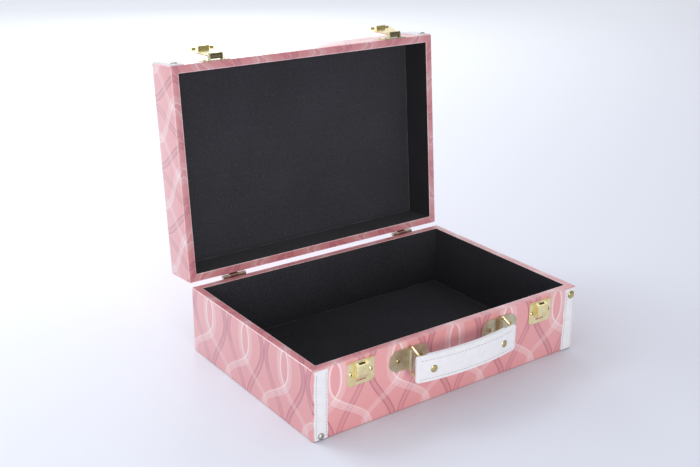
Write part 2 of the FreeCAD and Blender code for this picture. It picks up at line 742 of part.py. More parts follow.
os.makedirs("parts", exist_ok=True)
for node_name, node_shape in all_nodes().items():
    node_shape.exportStep("parts/" + node_name + ".step")
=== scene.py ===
import json
import math

import bmesh
import bpy
from mathutils import Matrix, Vector

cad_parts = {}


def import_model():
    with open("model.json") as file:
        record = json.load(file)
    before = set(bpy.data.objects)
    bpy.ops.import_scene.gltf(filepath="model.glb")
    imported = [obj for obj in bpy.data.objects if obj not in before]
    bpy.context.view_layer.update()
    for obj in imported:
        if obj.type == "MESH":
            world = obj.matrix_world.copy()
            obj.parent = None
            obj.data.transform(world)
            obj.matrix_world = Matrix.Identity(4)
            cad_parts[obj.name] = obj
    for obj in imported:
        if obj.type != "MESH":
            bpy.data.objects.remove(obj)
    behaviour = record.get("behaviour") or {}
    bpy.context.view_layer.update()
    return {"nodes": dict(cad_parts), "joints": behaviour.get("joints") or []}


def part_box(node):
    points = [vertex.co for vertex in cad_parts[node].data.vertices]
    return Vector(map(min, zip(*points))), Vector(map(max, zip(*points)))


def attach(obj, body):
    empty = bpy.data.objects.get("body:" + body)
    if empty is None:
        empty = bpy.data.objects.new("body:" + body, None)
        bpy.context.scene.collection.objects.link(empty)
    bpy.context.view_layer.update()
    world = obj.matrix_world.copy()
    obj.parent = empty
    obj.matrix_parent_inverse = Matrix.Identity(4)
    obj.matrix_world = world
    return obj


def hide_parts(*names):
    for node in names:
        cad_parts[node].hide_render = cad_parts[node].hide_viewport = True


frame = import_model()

# Looks of the suitcase-shaped jewelry box: printed paper, black velvet, white stitched leather
# and gold fittings. Metres, in the part's own frame, unless a heading says otherwise.
# Pieces of the lid are made shut and turned open with it.

MM = 0.001
LEFT = -1
RIGHT = 1
SHEET_MARK = "sheet"

# Printed paper: the sheet's repeat and the places of its strands, in millimetres
REPEAT_WIDTH = 63.6
REPEAT_HEIGHT = 114.0
STRAND_CENTRE = REPEAT_WIDTH / 4
ALMOND_FROM_LEFT = 22.5
ALMOND_MIDDLE = 51.0
LID_SHIFT = 6.0
WHITE_REACH = 23.7
WHITE_STRAIGHTEN = 2.0
WHITE_BAND = 5.4
WHITE_LINES = (1.9, 3.5, 5.2)
MAUVE_REACH = 12.9
MAUVE_LINE_OUT = 2.4
MAUVE_HALF = 3.1

# Printed paper: half widths and soft edges of its lines, in millimetres
MAUVE_SOFT = 0.6
MAUVE_LINE_HALF = 0.5
MAUVE_LINE_SOFT = 0.45
WHITE_SOFT = 0.5
WHITE_LINE_HALF = 0.35
WHITE_LINE_SOFT = 0.25
WHITE_EDGE_HALF = 0.8
WHITE_EDGE_SOFT = 0.6
RIM_RUB = 0.3
RIM_RUB_HALF = 0.4

# Printed paper: share of the pink that is covered, by the strand on each side of the repeat,
# at the almonds and where the mauve strands join, how far the rim is darkened as painted shade, and how far
# it is rubbed
MAUVE_FILL_COVER = {LEFT: 0.26, RIGHT: 0.36}
MAUVE_LINE_COVER = {LEFT: 0.55, RIGHT: 0.75}
MAUVE_JOIN_COVER = 0.6
WHITE_FILL_COVER = {LEFT: 0.1, RIGHT: 0.2}
WHITE_LINE_COVER = {LEFT: 0.5, RIGHT: 0.06}
WHITE_ALMOND_FILL = 0.14
WHITE_ALMOND_LINE = 0.3
WHITE_ALMOND_EDGE = 0.8
RIM_PAINTED_SHADE = 0.4
RIM_INNER_RUB = 0.8
RIM_OUTER_RUB = 0.15
RIM_OUTER_RUB_LEFT_FACE = 0.7

# Paper
PAPER = 0.4 * MM
RIM_ROUND = 0.8 * MM
RIM_INNER_ROUND = 0.3 * MM
TOP_ROUND = 1.0 * MM
CORNER_ROUND = 1.0 * MM
LEAST_ROUND = 0.15 * MM

# Velvet
VELVET = 0.6 * MM
VELVET_ROUND = 0.25 * MM
VELVET_CORNER = 1.4 * MM
# Places across the box between which the velvet is made paler or darker as painted light and shade
PAINTED_LIGHT_LEFT_AT = -90 * MM
PAINTED_LIGHT_RIGHT_AT = 130 * MM
EDGE_RUB = 1.4 * MM

# Leather strips
STRIP_EDGE = 0.7 * MM
STRIP_ROW = 1.7 * MM
STRIP_STITCH = 3.1 * MM
STRIP_WAVE = 0.45 * MM
WAVE_LONG = 4.3 * MM
WAVE_SHORT = 1.9 * MM
WAVE_LONG_SHARE = 0.6
WAVE_SHORT_SHARE = 0.4
BASE_WAVE_PHASE = 1.0
LID_WAVE_PHASE = 3.0
RIGHT_EDGE_PHASE = 2.0

# Handle strap
STRAP_SPAN = 104 * MM
STRAP_BOW = 5.4 * MM
STRAP_LAYER = 2.4 * MM
STRAP_EDGE = 0.9 * MM
STRAP_CORNER = 3.0 * MM
SEAM_GAP = 0.4 * MM
SEAM_DEEP = 0.5 * MM
STRAP_TOP_ROW = 4.4 * MM
STRAP_FOOT_ROW = 3.0 * MM
STRAP_STITCH = 3.6 * MM
BACK_HALF = 46 * MM
TONGUE_HALF = 55 * MM
FOLD_WALL = 1.6 * MM
FOLD_HEIGHT = 19.2 * MM
WIRE_R = 1.0 * MM
WIRE_BEND = 2.4 * MM
RUNNING_FIT = 0.06 * MM

# Thread: a stitch's own share of its step, and how it dips in at both ends
THREAD_R = 0.24 * MM
THREAD_RISE = 0.16 * MM
THREAD_SINK = 0.5 * MM
STITCH_SHARE = 0.66
STITCH_EASE = 0.12
STITCH_SHOULDER = 0.4
GROOVE = 0.22 * MM
GROOVE_WIDTH = 0.55 * MM

# Fasteners
SCREW_HEAD_R = 2.2 * MM
SCREW_HEAD = 1.0 * MM
SCREW_SHANK_R = 1.2 * MM
SCREW_LENGTH = 5.0 * MM
SCREW_TURN_DEG = 17
SCREW_TURN_STEP_DEG = 37
CROSS_LENGTH = 2.3 * MM
CROSS_WIDTH = 0.55 * MM
CROSS_DEPTH = 0.7 * MM
BASE_RIVET_R = 4.0 * MM
FOOT_RIVET_R = 3.0 * MM
LID_RIVET_R = 3.2 * MM
STRIP_RIVET_RISE = 1.6 * MM
STRAP_RIVET_R = 3.4 * MM
STRAP_RIVET_RISE = 0.8 * MM
STRAP_RIVET_SEAT = 0.05 * MM
STRAP_RIVET_TAIL = 0.5 * MM
RIVET_STEM_R = 1.4 * MM
HEAD_EDGE_SHARE = 0.2

# Fineness of the meshes
SHARP_DEG = 38
WELD = 0.001 * MM
EDGE_STATIONS = (0, 0.12, 0.4, 1)
LEATHER_STEP = 0.8 * MM
STRIP_STEP_ALONG = 1.2 * MM
STRAP_STEP_ALONG = 1.6 * MM
CORNER_STEPS = 4
PROFILE_STEPS = 3
WIRE_STEPS = 6
DOME_STEPS = 5
THREAD_SIDES = 6
WIRE_SIDES = 16
FOLD_SIDES = 24
SCREW_SIDES = 28
RIVET_SIDES = 32

# Surface patterns: how large their features are and how deep they go
PINK_CLOUD = 30 * MM
RUB_PATCH = 6 * MM
GLOSS_PATCH = 4 * MM
TOOTH = 0.9 * MM
TOOTH_DEEP = 0.06 * MM
FIBRE = 2.5 * MM
FIBRE_DEEP = 0.08 * MM
PILE = 0.7 * MM
PILE_DEEP = 0.4 * MM
NAP_CLOUD = 50 * MM
NAP_CLOUD_SHARE = 0.3
PANEL_RUB_PATCH = 20 * MM
GRAIN = 0.9 * MM
GRAIN_DEEP = 0.06 * MM
CREASE = 6 * MM
CREASE_DEEP = 0.3 * MM
STREAK = 0.5 * MM
STREAK_DEEP = 0.02 * MM
METAL_EDGE = 0.25 * MM
TWIST = 0.4 * MM
TWIST_DEEP = 0.1 * MM
CHIP = 1.2 * MM
CHIP_DEEP = 0.2 * MM

# Painted shade: in a rolled knuckle, out from its pin, and within a reach of crevices
KNUCKLE_SHADE_R = 4.0 * MM
KNUCKLE_SHADE_END = 5.4 * MM
METAL_SHADE_REACH = 1.8 * MM
PAPER_SHADE_REACH = 6.0 * MM
PAINTED_SHADE_SAMPLES = 8
BEVEL_SAMPLES = 4

# Camera and stage
CAMERA_PLACE = Vector((-0.55616, -0.70963, 0.45601))
CAMERA_TARGET = Vector((-0.01712, 0.03289, 0.11176))
CAMERA_ROLL_DEG = 0.493
CAMERA_LENS = 53.54
CAMERA_SENSOR = 36
FLOOR_HALF = 6.0
# The floor's colour is darkened towards the front right as painted shade, over a lean and between two places
FLOOR_LEAN = 0.4
FLOOR_DARK_FROM = -0.5
FLOOR_PALE_FROM = 0.9
SKY_LEAN = 0.6
SKY_FADE = 0.6
SKY_DIM = 0.25
SKY_BRIGHT = 1.0

nodes = frame["nodes"]
joints = {joint["name"]: joint for joint in frame["joints"]}
pivots = {name: Vector(joint["pos_m"]) for name, joint in joints.items()}
base_low, base_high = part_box("base_paper_wrap")
lid_hinge = joints["lid_hinge"]
hinge_point = pivots["lid_hinge"]
hinge_turn = Matrix.Rotation(-math.radians(lid_hinge["range_deg"][1]), 4, Vector(lid_hinge["axis"]))
OPEN_LID = Matrix.Translation(hinge_point) @ hinge_turn @ Matrix.Translation(-hinge_point)
SHUT_LID = OPEN_LID.inverted()
IN_PLACE = Matrix.Identity(4)
BOX_WIDTH = base_high.x - base_low.x
OUTWARD = Vector((0, -1, 0))

# The strap's seam is part of a circle in plan, a layer behind the outermost place of the front leather
strap_low, strap_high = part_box("handle_front_leather")
strap_middle = (strap_low + strap_high) / 2
SEAM_R = ((STRAP_SPAN / 2) ** 2 + STRAP_BOW ** 2) / (2 * STRAP_BOW)
SEAM_CENTRE = Vector((strap_middle.x, strap_low.y + STRAP_LAYER + SEAM_R, strap_middle.z))

# The loops stand swung aside: from the near leg in the plate to the far leg in the strap
LOOP_REACH = pivots["strap_swing"] - pivots["handle_left_swing"]


# Meshes

def extent(points):
    """Lowest and highest corners of the box round some points."""
    low = Vector([min(point[axis] for point in points) for axis in range(3)])
    high = Vector([max(point[axis] for point in points) for axis in range(3)])
    return low, high


def node_box(name, matrix):
    """Lowest and highest corners of a CAD node after a turn, such as the lid's back to shut."""
    return extent([matrix @ vertex.co for vertex in nodes[name].data.vertices])


def islands(name, matrix):
    """Boxes (low, high) of the separate solids in a CAD node, after a turn."""
    shape = bmesh.new()
    shape.from_mesh(nodes[name].data)
    bmesh.ops.remove_doubles(shape, verts=shape.verts, dist=WELD)
    shape.transform(matrix)
    waiting = set(shape.verts)
    boxes = []
    while waiting:
        reached = {waiting.pop()}
        edge_of_reach = list(reached)
        while edge_of_reach:
            vertex = edge_of_reach.pop()
            for edge in vertex.link_edges:
                other = edge.other_vert(vertex)
                if other in waiting:
                    waiting.discard(other)
                    reached.add(other)
                    edge_of_reach.append(other)
        boxes.append(extent([vertex.co for vertex in reached]))
    shape.free()
    return sorted(boxes, key=lambda box: box[0].x)


def mesh_of(shape, name):
    """Mesh made from a bmesh, which is freed."""
    mesh = bpy.data.meshes.new(name)
    shape.to_mesh(mesh)
    shape.free()
    return mesh


def shown(name, data):
    """New object in the scene."""
    made = bpy.data.objects.new(name, data)
    bpy.context.scene.collection.objects.link(made)
    return made


def piece(name, body, material, shape, replaced=()):
    """New piece from a bmesh, riding on a body and standing for CAD nodes."""
    bmesh.ops.recalc_face_normals(shape, faces=shape.faces)
    mesh = mesh_of(shape, name)
    mesh.shade_smooth()
    mesh.set_sharp_from_angle(angle=math.radians(SHARP_DEG))
    mesh.materials.append(material)
    made = shown(name, mesh)
    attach(made, body)
    if replaced:
        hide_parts(*replaced)
    return made


def eased(points, reach, steps, closed=False):
    """Path through points with each corner rounded off over a reach."""
    count = len(points)
    path = []
    for i, corner in enumerate(points):
        if not closed and i in (0, count - 1):
            path.append(corner)
            continue
        start = corner + (points[i - 1] - corner).normalized() * reach
        end = corner + (points[(i + 1) % count] - corner).normalized() * reach
        for step in range(steps + 1):
            t = step / steps
            path.append(start * (1 - t) ** 2 + corner * 2 * t * (1 - t) + end * t ** 2)
    return path


def circle(sides):
    """Cosine and sine at even turns round a circle."""
    turns = [2 * math.pi * i / sides for i in range(sides)]
    return [(math.cos(turn), math.sin(turn)) for turn in turns]


def bands(shape, rings):
    """Adds the faces between each ring of points and the next."""
    for low, high in zip(rings, rings[1:]):
        for i in range(len(low)):
            following = (i + 1) % len(low)
            shape.faces.new((low[i], low[following], high[following], high[i]))


def lathe(shape, profile, sides, matrix):
    """Adds a closed solid turned about its own Z axis; its (radius, height) points start and end there."""
    rings = []
    for radius, height in profile[1:-1]:
        places = [Vector((radius * cosine, radius * sine, height)) for cosine, sine in circle(sides)]
        rings.append([shape.verts.new(matrix @ place) for place in places])
    foot = shape.verts.new(matrix @ Vector((0, 0, profile[0][1])))
    head = shape.verts.new(matrix @ Vector((0, 0, profile[-1][1])))
    for i in range(sides):
        following = (i + 1) % sides
        shape.faces.new((foot, rings[0][following], rings[0][i]))
        shape.faces.new((head, rings[-1][i], rings[-1][following]))
        for low, high in zip(rings, rings[1:]):
            shape.faces.new((low[i], low[following], high[following], high[i]))


def tube(shape, path, radius, sides, closed):
    """Adds a round bar along a path; an open one gets end caps."""
    count = len(path)
    rings = []
    side = None
    for i, place in enumerate(path):
        before = path[i - 1] if closed or i else place
        after = path[(i + 1) % count] if closed or i < count - 1 else place
        along = (after - before).normalized()
        side = along.orthogonal() if side is None else side - along * side.dot(along)
        side.normalize()
        across = along.cross(side)
        spokes = [cosine * side + sine * across for cosine, sine in circle(sides)]
        rings.append([shape.verts.new(place + radius * spoke) for spoke in spokes])
    if closed:
        bands(shape, rings + rings[:1])
    else:
        bands(shape, rings)
        shape.faces.new(list(reversed(rings[0])))
        shape.faces.new(rings[-1])


def aimed(point, direction):
    """Matrix that carries a solid's own Z axis to a direction from a point."""
    turn = Vector(direction).to_track_quat("Z", "Y").to_matrix().to_4x4()
    return Matrix.Translation(point) @ turn


# Paper and velvet: a profile carried round the box

def ring_corners(low, high, inset, rounding):
    """Rounded rectangle from the front left corner along the front, and on round to the left side."""
    radius = max(rounding - inset, LEAST_ROUND)
    left = low.x + inset + radius
    right = high.x - inset - radius
    front = low.y + inset + radius
    back = high.y - inset - radius
    points = []
    for x, y, start in ((left, front, 180), (right, front, 270), (right, back, 0), (left, back, 90)):
        for step in range(CORNER_STEPS + 1):
            turn = math.radians(start + 90 * step / CORNER_STEPS)
            points.append(Vector((x + radius * math.cos(turn), y + radius * math.sin(turn))))
    return points


def travel(points):
    """Distance along the ring at each point and back at the first one, from the front left corner."""
    along = [0.0]
    for i, point in enumerate(points):
        along.append(along[-1] + (points[(i + 1) % len(points)] - point).length)
    return along


def carried(profile, low, high, rounding, matrix, closed):
    """Bmesh of a profile of (inset, z, sheet height) points carried round a box.

    An open profile gets two caps. Each face is marked with its place on the flat sheet, along and up;
    the left side counts backward from the front left corner.
    """
    shape = bmesh.new()
    sheet = shape.loops.layers.float_vector.new(SHEET_MARK)
    along = travel(ring_corners(low, high, 0, rounding))
    count = len(along) - 1
    left = high.y - low.y
    along = [place - (along[-1] if place > along[-1] - left else 0) for place in along]
    rings = []
    for inset, z, _ in profile:
        points = ring_corners(low, high, inset, rounding)
        rings.append([shape.verts.new(matrix @ Vector((point.x, point.y, z))) for point in points])
    pairs = [(j, (j + 1) % len(profile)) for j in range(len(profile) if closed else len(profile) - 1)]
    for j, k in pairs:
        for i in range(count):
            following = (i + 1) % count
            face = shape.faces.new((rings[j][i], rings[j][following], rings[k][following], rings[k][i]))
            ends = (along[i], along[i + 1] if along[i + 1] > along[i] else along[i] + BOX_WIDTH)
            marks = ((ends[0], j), (ends[1], j), (ends[1], k), (ends[0], k))
            for loop, (place, row) in zip(face.loops, marks):
                loop[sheet] = (place, profile[row][2], 0)
    if not closed:
        for ring in (rings[0], rings[-1]):
            face = shape.faces.new(ring)
            for loop in face.loops:
                shut = matrix.inverted() @ loop.vert.co
                loop[sheet] = (shut.x - low.x, profile[-1][2] + shut.y - low.y, 0)
    return shape


def sheeted(points, start):
    """Profile points (inset, z) with the length of sheet up to each, from a starting height."""
    rows = []
    length = start
    for i, point in enumerate(points):
        if i:
            length += (point - points[i - 1]).length
        rows.append((point.x, point.y, length))
    return rows


def rounded_profile(points):
    """Profile through (inset, z, rounding) points, each corner rounded by its own amount."""
    corners = [Vector(point[:2]) for point in points]
    path = []
    for i, point in enumerate(points):
        if not point[2]:
            path.append(corners[i])
            continue
        around = [corners[i - 1], corners[i], corners[(i + 1) % len(points)]]
        path.extend(eased(around, point[2], PROFILE_STEPS)[1:-1])
    return path


def base_paper():
    """Paper over the base's outer faces and over the rim."""
    low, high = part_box("base_paper_wrap")
    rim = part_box("base_wall_lining")[0].x - low.x
    top = high.z
    profile = rounded_profile((
        (0, low.z, 0),
        (0, top, RIM_ROUND),
        (rim, top, RIM_INNER_ROUND),
        (rim, top - PAPER, 0),
        (PAPER, top - PAPER, 0),
        (PAPER, low.z, 0),
    ))
    shape = carried(sheeted(profile, low.z), low, high, CORNER_ROUND, IN_PLACE, True)
    piece("base_paper", "base", paper, shape, ["base_paper_wrap"])


def lid_paper():
    """Paper over the lid's rim, outer faces and top."""
    low, high = node_box("lid_paper_wrap", SHUT_LID)
    rim = node_box("lid_wall_lining", SHUT_LID)[0].x - low.x
    profile = rounded_profile((
        (PAPER, high.z - PAPER, 0),
        (PAPER, low.z + PAPER, 0),
        (rim, low.z + PAPER, 0),
        (rim, low.z, RIM_INNER_ROUND),
        (0, low.z, RIM_ROUND),
        (0, high.z, TOP_ROUND),
        (2 * TOP_ROUND, high.z, 0),
    ))
    rows = sheeted(profile, 0)
    wall_row = [row[2] for row in rows if row[0] == 0][0]
    rows = [(inset, z, length - wall_row + low.z + RIM_ROUND) for inset, z, length in rows]
    shape = carried(rows, low, high, CORNER_ROUND, OPEN_LID, False)
    piece("lid_paper", "lid", lid_paper_material, shape, ["lid_paper_wrap"])


def wall_velvet(name, body, node, matrix, rim_up, velvet):
    """Velvet on four walls, with a soft edge at the rim."""
    low, high = node_box(node, matrix.inverted())
    rim, deep = (high.z, low.z) if rim_up else (low.z, high.z)
    profile = rounded_profile((
        (0, deep, 0),
        (0, rim, 0),
        (VELVET, rim, VELVET_ROUND),
        (VELVET, deep, 0),
    ))
    shape = carried(sheeted(profile, 0), low, high, VELVET_CORNER, matrix, True)
    piece(name, body, velvet, shape, [node])


def flat_velvet(name, body, node, matrix, velvet):
    """Velvet on the floor of a tray, out under the velvet of the walls."""
    low, high = node_box(node, matrix.inverted())
    profile = (Vector((0, low.z)), Vector((0, high.z)))
    shape = carried(sheeted(profile, 0), low, high, CORNER_ROUND, matrix, False)
    piece(name, body, velvet, shape, [node])


# Leather

def stations(length, step, edge):
    """Places along a length, closer together near both ends."""
    close = [share * edge for share in EDGE_STATIONS]
    count = max(1, round((length - 2 * edge) / step))
    middle = [edge + (length - 2 * edge) * i / count for i in range(1, count)]
    return close + middle + [length - place for place in reversed(close)]


def edge_height(distance, thickness, edge):
    """Height of a slab's face at a distance from its rounded edge."""
    share = 1 - min(distance / edge, 1)
    return thickness - edge + edge * math.sqrt(1 - share ** 2)


def groove(distance, row):
    """Depth pulled in by a row of stitches at a distance from the edge."""
    return GROOVE * math.exp(-((distance - row) / GROOVE_WIDTH) ** 2)


def slab(shape, across, along, place):
    """Adds a closed slab on a grid; place(a, b) gives its back and front points."""
    front = []
    back = []
    for b in along:
        pairs = [place(a, b) for a in across]
        back.append([shape.verts.new(pair[0]) for pair in pairs])
        front.append([shape.verts.new(pair[1]) for pair in pairs])
    rows = len(along) - 1
    columns = len(across) - 1
    for j in range(rows):
        for i in range(columns):
            shape.faces.new((front[j][i], front[j][i + 1], front[j + 1][i + 1], front[j + 1][i]))
            shape.faces.new((back[j][i], back[j + 1][i], back[j + 1][i + 1], back[j][i + 1]))
    for i in range(columns):
        for j in (0, rows):
            shape.faces.new((back[j][i], back[j][i + 1], front[j][i + 1], front[j][i]))
    for j in range(rows):
        for i in (0, columns):
            shape.faces.new((back[j][i], back[j + 1][i], front[j + 1][i], front[j][i]))


def wave(place, phase):
    """Slight unevenness of a hand-cut edge."""
    long_wave = WAVE_LONG_SHARE * math.sin(place / WAVE_LONG + phase)
    short_wave = WAVE_SHORT_SHARE * math.sin(place / WAVE_SHORT + 2 * phase)
    return STRIP_WAVE * (long_wave + short_wave)


def stitches(shape, spots):
    """Adds one stitch for each (start, end, outward) spot."""
    for start, end, outward in spots:
        inward = outward * -THREAD_SINK
        lift = outward * THREAD_RISE
        shoulder = lift * STITCH_SHOULDER
        along = (end - start) * STITCH_EASE
        path = [start + inward, start + shoulder, start + along + lift]
        path += [end - along + lift, end + shoulder, end + inward]
        tube(shape, path, THREAD_R, THREAD_SIDES, False)


def corner_strip(body, node, matrix, phase):
    """Leather strip with wavy edges and two rows of stitches."""
    low, high = node_box(node, matrix.inverted())
    width = high.x - low.x
    height = high.z - low.z
    thick = high.y - low.y

    def place(a, b):
        """Back and front points of the leather at a place across and up."""
        side_distance = min(a, width - a)
        end_distance = min(b, height - b)
        rise = edge_height(min(side_distance, end_distance), thick, STRIP_EDGE)
        rise -= groove(side_distance, STRIP_ROW)
        side_share = 1 - 2 * a / width
        edge_phase = phase if side_share > 0 else phase + RIGHT_EDGE_PHASE
        seat = Vector((low.x + a + side_share * wave(b, edge_phase), high.y, low.z + b))
        return matrix @ seat, matrix @ (seat + OUTWARD * rise)

    shape = bmesh.new()
    across = stations(width, LEATHER_STEP, STRIP_EDGE)
    slab(shape, across, stations(height, STRIP_STEP_ALONG, STRIP_EDGE), place)
    piece(node + "_leather", body, leather, shape, [node])

    outward = (matrix.to_3x3() @ OUTWARD).normalized()
    count = int((height - 2 * STRIP_ROW) / STRIP_STITCH)
    first = (height - count * STRIP_STITCH) / 2
    spots = []
    for row in (STRIP_ROW, width - STRIP_ROW):
        for i in range(count):
            ends = [first + i * STRIP_STITCH, first + (i + STITCH_SHARE) * STRIP_STITCH]
            start, end = [place(row, b)[1] for b in ends]
            spots.append((start, end, outward))
    shape = bmesh.new()
    stitches(shape, spots)
    piece(node + "_stitches", body, thread, shape)


# Handle

def strap_place(x, z, depth):
    """Point at a depth outside the seam, at a place across and up, with the outward direction."""
    turn = math.asin(x / SEAM_R)
    outward = Vector((math.sin(turn), -math.cos(turn), 0))
    return SEAM_CENTRE + Vector((0, 0, z)) + outward * (SEAM_R + depth), outward


def strap_half_height(x, half_length, half_height, corner):
    """Half the strap's height at a place along it, less at the rounded corners."""
    from_end = half_length - abs(x)
    if from_end >= corner:
        return half_height
    return half_height - corner + math.sqrt(max(corner ** 2 - (corner - from_end) ** 2, 0))


def strap_layer(shape, half_length, half_height, corner, outward, rows):
    """Adds one layer of the strap on the outer (1) or inner (-1) side of the seam."""
    length = 2 * half_length
    tallest = 2 * half_height

    def place(a, b):
        """Points of the layer at the seam and on its face, at a place up and along."""
        x = b - half_length
        half = strap_half_height(x, half_length, half_height, corner)
        share = 2 * a / tallest - 1
        from_top = (1 - share) * half
        from_foot = (1 + share) * half
        nearest = min(from_top, from_foot, b, length - b)
        rise = edge_height(nearest, STRAP_LAYER, STRAP_EDGE)
        if rows:
            rise -= groove(from_top, STRAP_TOP_ROW) + groove(from_foot, STRAP_FOOT_ROW)
        gap = SEAM_GAP * (1 - min(nearest / SEAM_DEEP, 1))
        seat = strap_place(x, share * half, outward * gap)[0]
        return seat, strap_place(x, share * half, outward * rise)[0]

    across = stations(tallest, LEATHER_STEP, STRAP_EDGE)
    slab(shape, across, stations(length, STRAP_STEP_ALONG, STRAP_EDGE), place)


def strap():
    """Two leather layers, the folds round the wire and the stitches."""
    half_length = (strap_high.x - strap_low.x) / 2
    half_height = (strap_high.z - strap_low.z) / 2
    shape = bmesh.new()
    strap_layer(shape, half_length, half_height, STRAP_CORNER, 1, True)
    piece("handle_front", "strap", leather, shape, ["handle_front_leather"])

    shape = bmesh.new()
    strap_layer(shape, BACK_HALF, half_height, STRAP_CORNER, -1, True)
    strap_layer(shape, TONGUE_HALF, FOLD_HEIGHT / 2, STRAP_CORNER / 2, -1, False)
    for end in ("left", "right"):
        fold(shape, end)
    piece("handle_back", "strap", leather, shape, ["handle_back_leather"])
    strap_stitches(half_length, half_height)


def fold(shape, end):
    """Adds the back layer's sleeve round a loop's far leg."""
    leg = pivots["handle_" + end + "_swing"] + LOOP_REACH
    leg.z = SEAM_CENTRE.z
    outer = WIRE_R + FOLD_WALL
    inner = WIRE_R + RUNNING_FIT
    half = FOLD_HEIGHT / 2
    rings = []
    for radius, height in ((inner, -half), (outer, -half), (outer, half), (inner, half)):
        places = [Vector((radius * cosine, radius * sine, height)) for cosine, sine in circle(FOLD_SIDES)]
        rings.append([shape.verts.new(leg + place) for place in places])
    bands(shape, rings + rings[:1])


def strap_stitches(half_length, half_height):
    """Rows of stitches along the top and foot of the strap's face."""
    spots = []
    reach = half_length - STRAP_CORNER
    count = int(2 * reach / STRAP_STITCH)
    for from_edge, up in ((STRAP_TOP_ROW, 1), (STRAP_FOOT_ROW, -1)):
        for i in range(count):
            ends = []
            for share in (0, STITCH_SHARE):
                x = (i + share - count / 2) * STRAP_STITCH
                half = strap_half_height(x, half_length, half_height, STRAP_CORNER)
                ends.append(strap_place(x, up * (half - from_edge), STRAP_LAYER - GROOVE))
            spots.append((ends[0][0], ends[1][0], ends[0][1]))
    shape = bmesh.new()
    stitches(shape, spots)
    piece("handle_stitches", "strap", thread, shape)


def wire_loop(end):
    """Bent wire loop, round all along."""
    name = "handle_loop_" + end
    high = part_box(name)[1]
    near = pivots["handle_" + end + "_swing"]
    far = near + LOOP_REACH
    up = Vector((0, 0, high.z - WIRE_R - near.z))
    path = eased([near + up, far + up, far - up, near - up], WIRE_BEND, WIRE_STEPS, True)
    shape = bmesh.new()
    tube(shape, path, WIRE_R, WIRE_SIDES, True)
    piece(name + "_wire", "loop_" + end, gold, shape, [name])


# Screws and rivets

def dome_profile(radius, rise, stem_radius, stem_length):
    """Profile of a domed head with a small upright edge and a stem."""
    edge = rise * HEAD_EDGE_SHARE
    profile = [(0, -stem_length), (stem_radius, -stem_length), (stem_radius, 0), (radius, 0)]
    for step in range(DOME_STEPS):
        turn = math.pi / 2 * step / DOME_STEPS
        profile.append((radius * math.cos(turn), edge + (rise - edge) * math.sin(turn)))
    return profile + [(0, rise)]


def screw_template():
    """Mesh of one cross-head screw, its head standing on the XY plane."""
    shape = bmesh.new()
    profile = dome_profile(SCREW_HEAD_R, SCREW_HEAD, SCREW_SHANK_R, SCREW_LENGTH)
    lathe(shape, profile, SCREW_SIDES, IN_PLACE)
    bmesh.ops.recalc_face_normals(shape, faces=shape.faces)
    body = shown("screw", mesh_of(shape, "screw"))
    cross = bmesh.new()
    for turn in (0, 90):
        size = Matrix.Diagonal((CROSS_LENGTH, CROSS_WIDTH, 2 * CROSS_DEPTH, 1))
        place = Matrix.Translation((0, 0, SCREW_HEAD)) @ Matrix.Rotation(math.radians(turn), 4, "Z")
        bmesh.ops.create_cube(cross, size=1, matrix=place @ size)
    cutter = shown("cross", mesh_of(cross, "cross"))
    cut = body.modifiers.new("recess", "BOOLEAN")
    cut.operation = "DIFFERENCE"
    cut.solver = "EXACT"
    cut.use_self = True
    cut.object = cutter
    seen = body.evaluated_get(bpy.context.evaluated_depsgraph_get())
    result = bpy.data.meshes.new_from_object(seen)
    for made in (body, cutter):
        bpy.data.objects.remove(made)
    return result


def screw_group(screw, node, body, matrix, outward, finish):
    """Screws in place of a node's plain ones, each turned a little differently."""
    shape = bmesh.new()
    for i, (low, high) in enumerate(islands(node, matrix.inverted())):
        middle = (low + high) / 2
        head_y = low.y + SCREW_HEAD if outward.y < 0 else high.y - SCREW_HEAD
        place = aimed(Vector((middle.x, head_y, middle.z)), outward)
        turn = Matrix.Rotation(math.radians(SCREW_TURN_DEG + SCREW_TURN_STEP_DEG * i), 4, "Z")
        copy = screw.copy()
        copy.transform(matrix @ place @ turn)
        shape.from_mesh(copy)
        bpy.data.meshes.remove(copy)
    piece(node + "_crossed", body, finish, shape, [node])


def strip_rivets(node, body, matrix, radius, finish):
    """Round domed rivets in place of a node's plain ones; a small one at the box's foot has gone dull."""
    shape = bmesh.new()
    for low, high in islands(node, matrix.inverted()):
        point = Vector(((low.x + high.x) / 2, low.y + STRIP_RIVET_RISE, (low.z + high.z) / 2))
        at_foot = point.z < base_high.z / 2
        head = FOOT_RIVET_R if at_foot else radius
        profile = dome_profile(head, STRIP_RIVET_RISE, RIVET_STEM_R, high.y - point.y)
        others = set(shape.faces)
        lathe(shape, profile, RIVET_SIDES, matrix @ aimed(point, OUTWARD))
        for face in set(shape.faces) - others:
            face.material_index = int(at_foot)
    made = piece(node + "_domed", body, finish, shape, [node])
    made.data.materials.append(dull)


def strap_rivets():
    """Flat domed rivets through the strap, square to its curve."""
    shape = bmesh.new()
    for low, high in islands("handle_rivets", IN_PLACE):
        place = (low + high) / 2 - SEAM_CENTRE
        point, outward = strap_place(place.x, place.z, STRAP_LAYER - STRAP_RIVET_SEAT)
        length = 2 * STRAP_LAYER + STRAP_RIVET_TAIL
        profile = dome_profile(STRAP_RIVET_R, STRAP_RIVET_RISE, RIVET_STEM_R, length)
        lathe(shape, profile, RIVET_SIDES, aimed(point, outward))
    piece("handle_rivets_domed", "strap", aged_gold_with_painted_shade, shape, ["handle_rivets"])


# Materials

